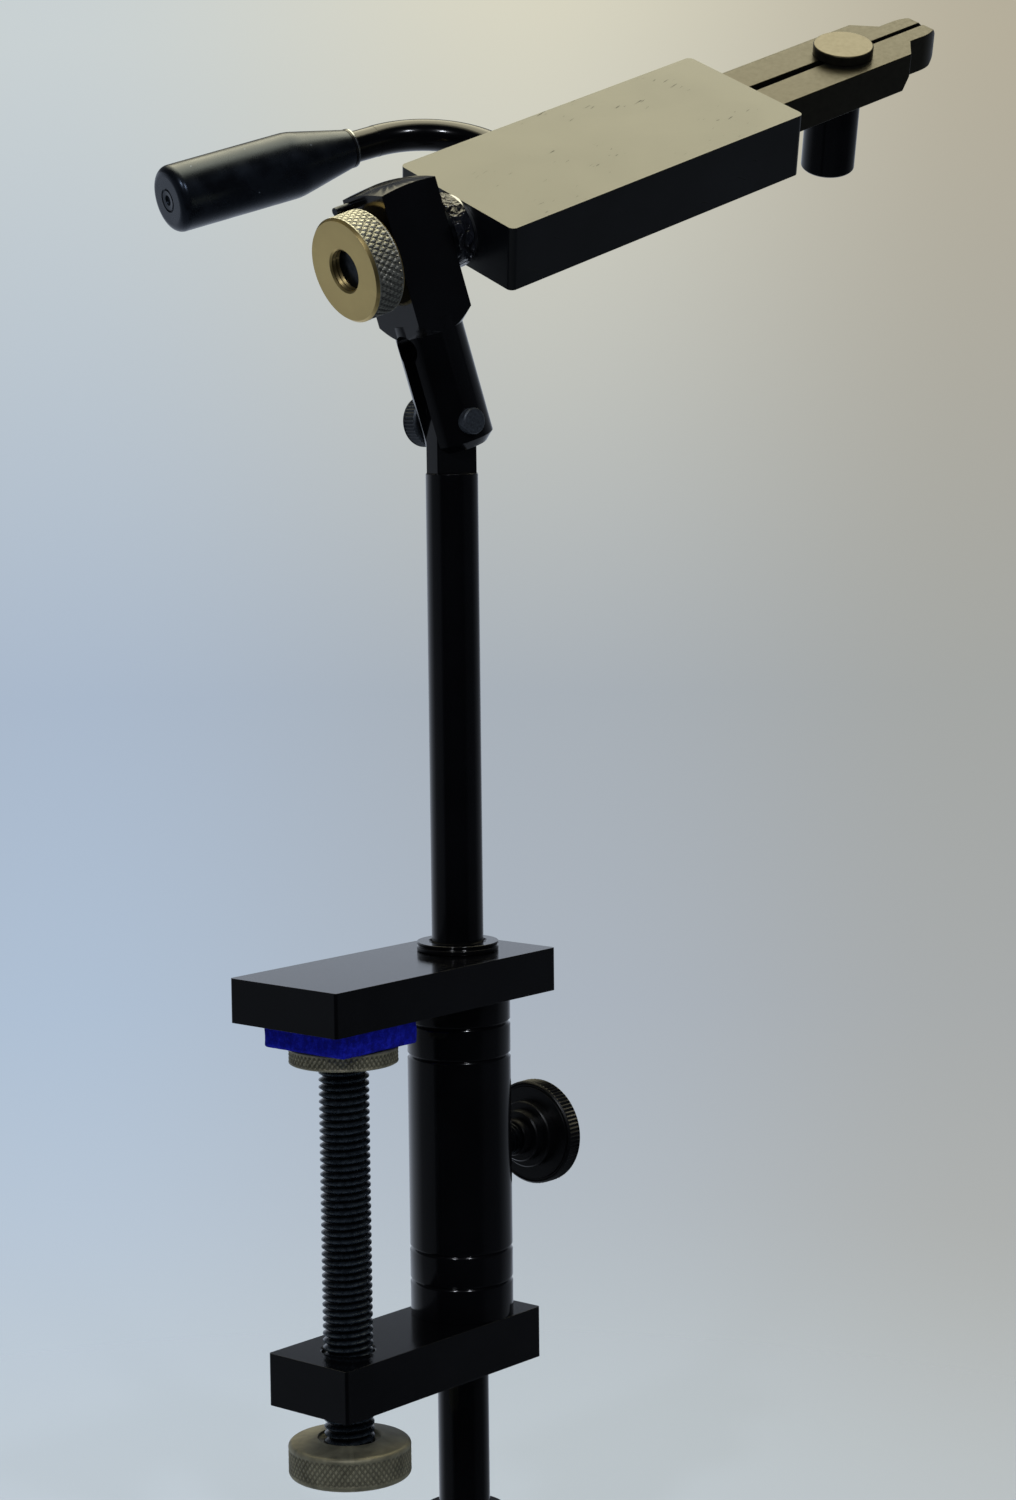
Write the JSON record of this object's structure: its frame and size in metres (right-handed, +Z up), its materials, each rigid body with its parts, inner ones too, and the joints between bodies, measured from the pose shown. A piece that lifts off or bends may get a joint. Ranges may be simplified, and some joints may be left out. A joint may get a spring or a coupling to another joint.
{
  "type": "fly tying vise",
  "caption": "Bench-clamped vise with a round stem, tilting rotary head and lever-closed jaws for holding a fish hook.",
  "frame": {"origin": "on the clamp screw's axis, at the underside of the bench pad, where the bench top meets it", "axes": "+Z up along the stem, +X from the clamp screw towards the stem and the jaws, +Y to the lever's side"},
  "size_m": [0.2172, 0.1095, 0.3925],
  "materials": {
    "clamp_black": "gloss black, anodised",
    "head_black": "satin black",
    "bright_steel": "bright turned steel",
    "dark_steel": "blackened steel",
    "brass": "turned brass with a worn sheen",
    "bronze": "plain bearing bronze",
    "blue_felt": "dense blue felt",
    "grip_black": "smooth black plastic, satin sheen"
  },
  "bodies": {
    "clamp": {"upper_clamp_bar": "clamp_black", "lower_clamp_bar": "clamp_black", "clamp_column": "clamp_black", "bench_pad": "blue_felt", "bar_set_screws": "dark_steel"},
    "pressure_disc": {"pressure_disc": "brass"},
    "clamp_screw": {"clamp_screw": "dark_steel", "disc_retaining_ring": "bright_steel", "clamp_knob": "brass", "knob_screw": "dark_steel"},
    "lock_shoe": {"lock_shoe": "brass"},
    "lock_screw": {"lock_screw": "dark_steel", "lock_knob": "clamp_black"},
    "stem_bushes": {"upper_stem_bush": "bronze", "lower_stem_bush": "bronze"},
    "stem": {"stem": "clamp_black", "upper_stem_collar": "clamp_black", "lower_stem_collar": "clamp_black", "collar_set_screws": "dark_steel"},
    "knuckle": {"knuckle_block": "clamp_black", "tilt_pin": "dark_steel", "rear_shaft_bush": "bronze", "front_shaft_bush": "bronze", "stop_pin": "dark_steel"},
    "tilt_washer": {"tilt_washer": "dark_steel"},
    "tilt_knob": {"tilt_knob": "dark_steel"},
    "head": {"rotary_shaft": "dark_steel", "thrust_washer": "dark_steel", "rotary_collar": "clamp_black", "bright_ring": "bright_steel", "head_housing": "head_black", "bottom_cover": "head_black", "cover_screws": "dark_steel", "shaft_set_screws": "dark_steel", "lever_bush": "bronze", "lever_dowel": "bright_steel", "jaw_bridge": "dark_steel", "bridge_screws": "dark_steel", "pivot_post": "head_black", "jaw_spring": "bright_steel", "adjuster_screw": "dark_steel"},
    "drag_washer": {"drag_washer": "dark_steel"},
    "brass_nut": {"brass_nut": "brass"},
    "lever": {"lever_rod": "clamp_black", "lever_grip": "grip_black", "grip_ring": "dark_steel"},
    "jaw_slide": {"jaw_slide": "bright_steel"},
    "left_jaw": {"left_jaw": "head_black"},
    "right_jaw": {"right_jaw": "head_black"},
    "adjuster": {"adjuster_sleeve": "clamp_black"}
  },
  "joints": [
    {"name": "disc_travel", "type": "slide", "parent": "clamp", "child": "pressure_disc", "axis": [0, 0, -1], "range_m": [0, 0.0685]},
    {"name": "clamp_turn", "type": "hinge", "parent": "pressure_disc", "child": "clamp_screw", "pos_m": [0, 0, 0], "axis": [0, 0, -1], "range_deg": [0, 14092]},
    {"name": "shoe_travel", "type": "slide", "parent": "clamp", "child": "lock_shoe", "axis": [1, 0, 0], "range_m": [0, 0.0025]},
    {"name": "lock_turn", "type": "hinge", "parent": "lock_shoe", "child": "lock_screw", "pos_m": [0.06, 0, -0.03355], "axis": [1, 0, 0], "range_deg": [0, 720]},
    {"name": "stem_swivel", "type": "hinge", "parent": "clamp", "child": "stem_bushes", "pos_m": [0.0414, 0, 0], "axis": [0, 0, 1], "continuous": true},
    {"name": "stem_height", "type": "slide", "parent": "stem_bushes", "child": "stem", "axis": [0, 0, 1], "range_m": [0, 0.037]},
    {"name": "knuckle_tilt", "type": "hinge", "parent": "stem", "child": "knuckle", "pos_m": [0.0414, 0, 0.14575], "axis": [-0.225, -0.9744, 0], "range_deg": [-35, 55]},
    {"name": "washer_travel", "type": "slide", "parent": "knuckle", "child": "tilt_washer", "axis": [0.225, 0.9744, 0], "range_m": [0, 0.002]},
    {"name": "tilt_knob_turn", "type": "hinge", "parent": "tilt_washer", "child": "tilt_knob", "pos_m": [0.0414, 0, 0.14575], "axis": [0.225, 0.9744, 0], "range_deg": [0, 720]},
    {"name": "head_rotary", "type": "hinge", "parent": "knuckle", "child": "head", "pos_m": [0.02811, 0.00307, 0.18653], "axis": [0.924, -0.2133, 0.3173], "range_deg": [-80, 210]},
    {"name": "drag_washer_travel", "type": "slide", "parent": "head", "child": "drag_washer", "axis": [-0.924, 0.2133, -0.3173], "range_m": [0, 0.003]},
    {"name": "nut_turn", "type": "hinge", "parent": "drag_washer", "child": "brass_nut", "pos_m": [0.02811, 0.00307, 0.18653], "axis": [-0.924, 0.2133, -0.3173], "range_deg": [0, 720]},
    {"name": "lever_swing", "type": "hinge", "parent": "head", "child": "lever", "pos_m": [0.07479, -0.00771, 0.20256], "axis": [0.0686, 0.9089, 0.4112], "range_deg": [0, 90]},
    {"name": "slide_travel", "type": "slide", "parent": "head", "child": "jaw_slide", "axis": [-0.924, 0.2133, -0.3173], "range_m": [0, 0.0029]},
    {"name": "left_jaw_pivot", "type": "hinge", "parent": "head", "child": "left_jaw", "pos_m": [0.16488, -0.02851, 0.2335], "axis": [-0.3761, -0.3582, 0.8545], "range_deg": [0, 1.5]},
    {"name": "right_jaw_pivot", "type": "hinge", "parent": "head", "child": "right_jaw", "pos_m": [0.16488, -0.02851, 0.2335], "axis": [0.3761, 0.3582, -0.8545], "range_deg": [0, 1.5]},
    {"name": "adjuster_turn", "type": "hinge", "parent": "head", "child": "adjuster", "pos_m": [0.16303, -0.02808, 0.23286], "axis": [-0.3761, -0.3582, 0.8545], "continuous": true}
  ],
  "couplings": [
    {"joint": "clamp_turn", "follows": "disc_travel", "rad_per_m": 3590.4},
    {"joint": "lock_turn", "follows": "shoe_travel", "rad_per_m": 5026.5},
    {"joint": "tilt_knob_turn", "follows": "washer_travel", "rad_per_m": 6283.2},
    {"joint": "nut_turn", "follows": "drag_washer_travel", "rad_per_m": 4188.8},
    {"joint": "lever_swing", "follows": "slide_travel", "rad_per_m": 541.65},
    {"joint": "left_jaw_pivot", "follows": "slide_travel", "rad_per_m": 9.0275},
    {"joint": "right_jaw_pivot", "follows": "slide_travel", "rad_per_m": 9.0275}
  ]
}
